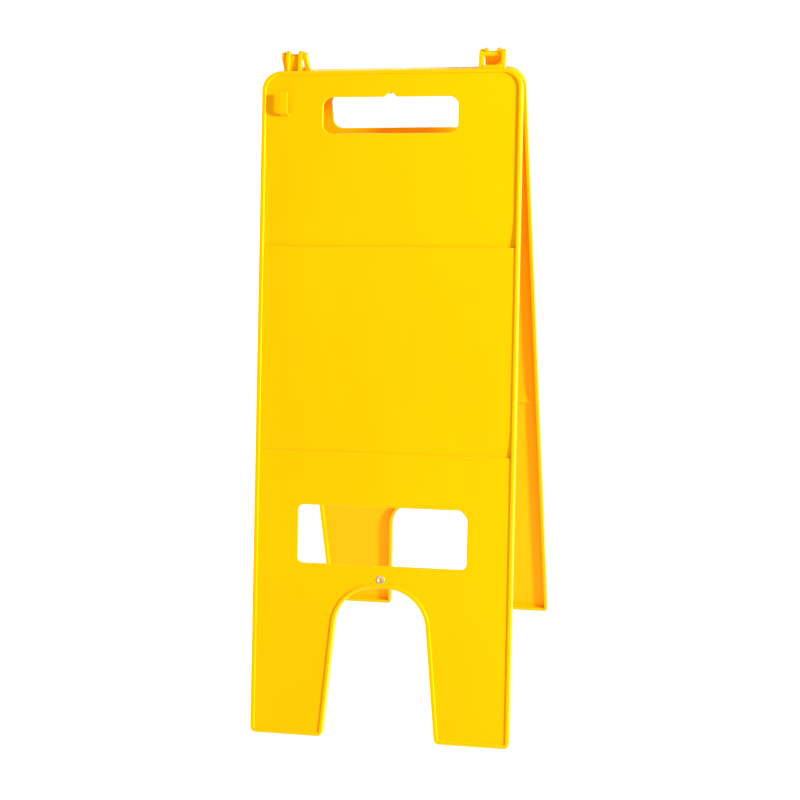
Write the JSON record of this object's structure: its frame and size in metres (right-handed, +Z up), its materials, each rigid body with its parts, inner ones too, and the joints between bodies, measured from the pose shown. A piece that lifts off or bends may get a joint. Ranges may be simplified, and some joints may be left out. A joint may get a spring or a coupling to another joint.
{
  "type": "folding a-frame stand",
  "caption": "Free-standing folding A-frame of moulded plastic panels snap-hinged at the top, with hand slots, windows, arched legs and side clips.",
  "frame": {"origin": "on the floor, midway between the two pairs of feet", "axes": "+X along the hinge, +Y from the front panel to the rear panel, +Z up; the stand is open as it stands in use"},
  "size_m": [0.246, 0.3298, 0.6199],
  "materials": {
    "yellow_plastic": "satin moulded polypropylene, safety yellow",
    "eyelet_metal": "bright rolled eyelet"
  },
  "bodies": {
    "front": {"front_panel": "yellow_plastic", "front_eyelet": "eyelet_metal"},
    "rear": {"rear_panel": "yellow_plastic", "rear_eyelet": "eyelet_metal"}
  },
  "joints": [
    {"name": "fold", "type": "hinge", "parent": "front", "child": "rear", "pos_m": [0, 0, 0.61433], "axis": [-1, 0, 0], "range_deg": [0, 28.5]}
  ]
}
